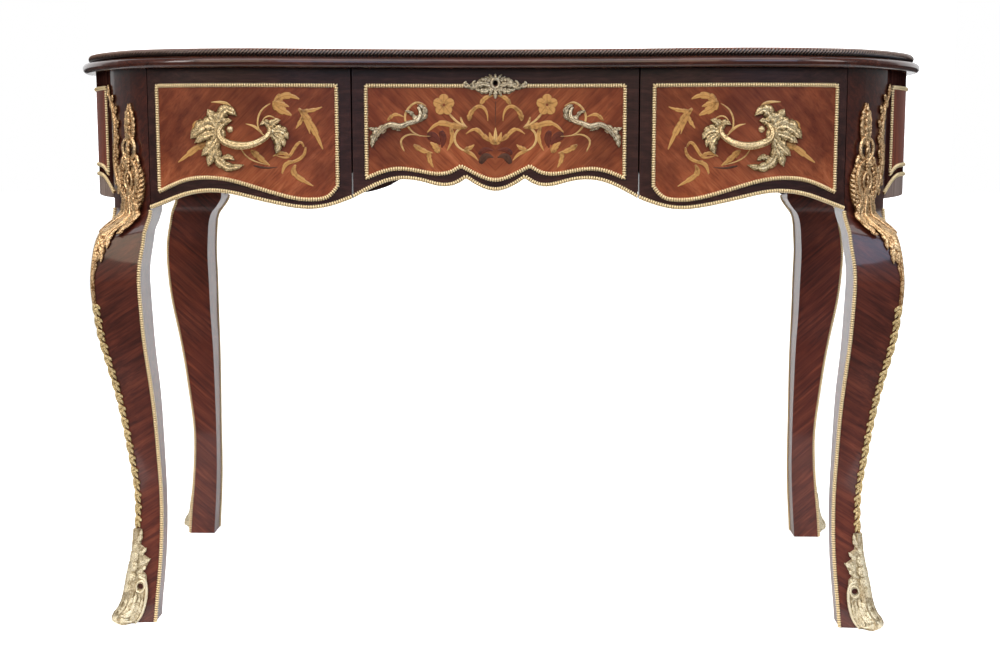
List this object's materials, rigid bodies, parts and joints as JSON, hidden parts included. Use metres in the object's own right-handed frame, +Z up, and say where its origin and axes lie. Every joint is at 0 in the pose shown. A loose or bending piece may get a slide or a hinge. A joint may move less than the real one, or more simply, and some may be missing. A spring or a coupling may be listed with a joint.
{
  "type": "kidney-shaped desk",
  "caption": "Kidney-shaped writing desk with a serpentine frieze of drawers, cabriole legs, floral inlay, ribbed beading and cast gilt mounts; drawers slide forward.",
  "frame": {"origin": "on the floor under the middle of the desk's bounding box", "axes": "+Z up; +X to the desk's right as a viewer facing the drawers sees it; the drawers face -Y"},
  "size_m": [1.214, 0.6303, 0.78],
  "materials": {
    "veneer": "polished reddish-brown veneer with dark banding",
    "dark_wood": "polished near-black brown",
    "oak": "plain planed secondary wood",
    "gilt_bronze": "gilt cast bronze",
    "brass_bead": "ribbed brass beading",
    "lock_brass": "worn brass",
    "steel": "bright steel"
  },
  "bodies": {
    "desk": {"back_apron": "veneer", "back_beads": "brass_bead", "corner_blocks": "oak", "divider_left": "oak", "divider_right": "oak", "end_apron_left": "veneer", "end_apron_right": "veneer", "end_beads_left": "brass_bead", "end_beads_right": "brass_bead", "front_bottom_rail": "oak", "front_top_rail": "oak", "leg_back_left": "veneer", "leg_back_right": "veneer", "leg_beads": "brass_bead", "leg_front_left": "veneer", "leg_front_right": "veneer", "leg_mount_back_left": "gilt_bronze", "leg_mount_back_right": "gilt_bronze", "leg_mount_front_left": "gilt_bronze", "leg_mount_front_right": "gilt_bronze", "sabot_back_left": "gilt_bronze", "sabot_back_right": "gilt_bronze", "sabot_front_left": "gilt_bronze", "sabot_front_right": "gilt_bronze", "side_runner_left": "oak", "side_runner_right": "oak", "top_board": "veneer", "top_edge_moulding": "dark_wood", "top_rope_edge": "dark_wood", "top_screws": "steel"},
    "left_drawer": {"left_drawer_back": "oak", "left_drawer_bottom": "oak", "left_drawer_edge_bead": "brass_bead", "left_drawer_frame_bead": "brass_bead", "left_drawer_front": "veneer", "left_drawer_pull": "gilt_bronze", "left_drawer_side_inner": "oak", "left_drawer_side_outer": "oak"},
    "centre_drawer": {"centre_drawer_back": "oak", "centre_drawer_bottom": "oak", "centre_drawer_edge_bead": "brass_bead", "centre_drawer_frame_bead": "brass_bead", "centre_drawer_front": "veneer", "centre_drawer_side_left": "oak", "centre_drawer_side_right": "oak", "centre_pull_left": "gilt_bronze", "centre_pull_right": "gilt_bronze", "keyhole_escutcheon": "gilt_bronze", "lock_case": "lock_brass"},
    "right_drawer": {"right_drawer_back": "oak", "right_drawer_bottom": "oak", "right_drawer_edge_bead": "brass_bead", "right_drawer_frame_bead": "brass_bead", "right_drawer_front": "veneer", "right_drawer_pull": "gilt_bronze", "right_drawer_side_inner": "oak", "right_drawer_side_outer": "oak"},
    "lock": {"lock_bolt": "steel"}
  },
  "joints": [
    {"name": "left_drawer_slide", "type": "slide", "parent": "desk", "child": "left_drawer", "axis": [0, -1, 0], "range_m": [0, 0.26]},
    {"name": "centre_drawer_slide", "type": "slide", "parent": "desk", "child": "centre_drawer", "axis": [0, -1, 0], "range_m": [0, 0.26]},
    {"name": "right_drawer_slide", "type": "slide", "parent": "desk", "child": "right_drawer", "axis": [0, -1, 0], "range_m": [0, 0.26]},
    {"name": "bolt_throw", "type": "slide", "parent": "centre_drawer", "child": "lock", "axis": [0, 0, 1], "range_m": [0, 0.009]}
  ]
}
